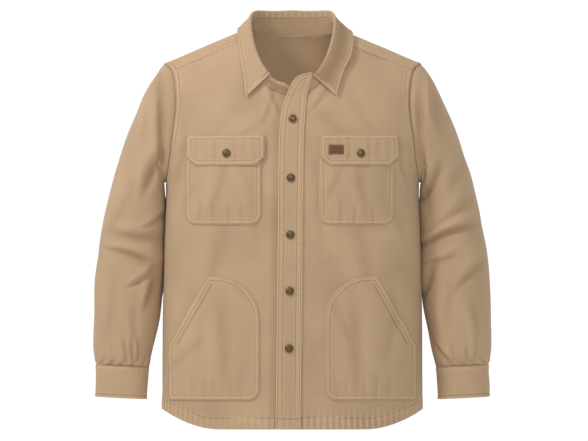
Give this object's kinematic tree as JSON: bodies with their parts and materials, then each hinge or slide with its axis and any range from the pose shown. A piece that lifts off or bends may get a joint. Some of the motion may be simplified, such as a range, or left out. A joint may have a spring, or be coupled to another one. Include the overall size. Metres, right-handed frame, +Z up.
{
  "type": "shirt jacket",
  "caption": "Canvas shirt jacket with point collar, snap front, flap chest pockets and slant hand pockets, filled out as worn with no wearer.",
  "frame": {"origin": "on the middle plane, level with the neck ends of the shoulder seams and above the shoulder ridge, where the wearer's shoulders hold it", "axes": "+Z up along the body, +X to the wearer's left, -Y to the front"},
  "size_m": [0.7602, 0.2279, 0.8017],
  "materials": {
    "canvas": "matt twill canvas",
    "snap_brass": "antique",
    "patch_leather": "plain"
  },
  "bodies": {
    "root": {"back": "canvas", "chest_pocket_left": "canvas", "chest_pocket_right": "canvas", "collar_leaf": "canvas", "collar_stand": "canvas", "cuff_left": "canvas", "cuff_right": "canvas", "flap_left": "canvas", "flap_right": "canvas", "front_left": "canvas", "front_right": "canvas", "hand_pocket_left": "canvas", "hand_pocket_right": "canvas", "label": "patch_leather", "placket": "canvas", "sleeve_left": "canvas", "sleeve_placket_left": "canvas", "sleeve_placket_right": "canvas", "sleeve_right": "canvas", "snap_cuff_left": "snap_brass", "snap_cuff_right": "snap_brass", "snap_flap_left": "snap_brass", "snap_flap_right": "snap_brass", "snap_front_1": "snap_brass", "snap_front_2": "snap_brass", "snap_front_3": "snap_brass", "snap_front_4": "snap_brass", "snap_front_5": "snap_brass", "yoke": "canvas"}
  },
  "joints": []
}
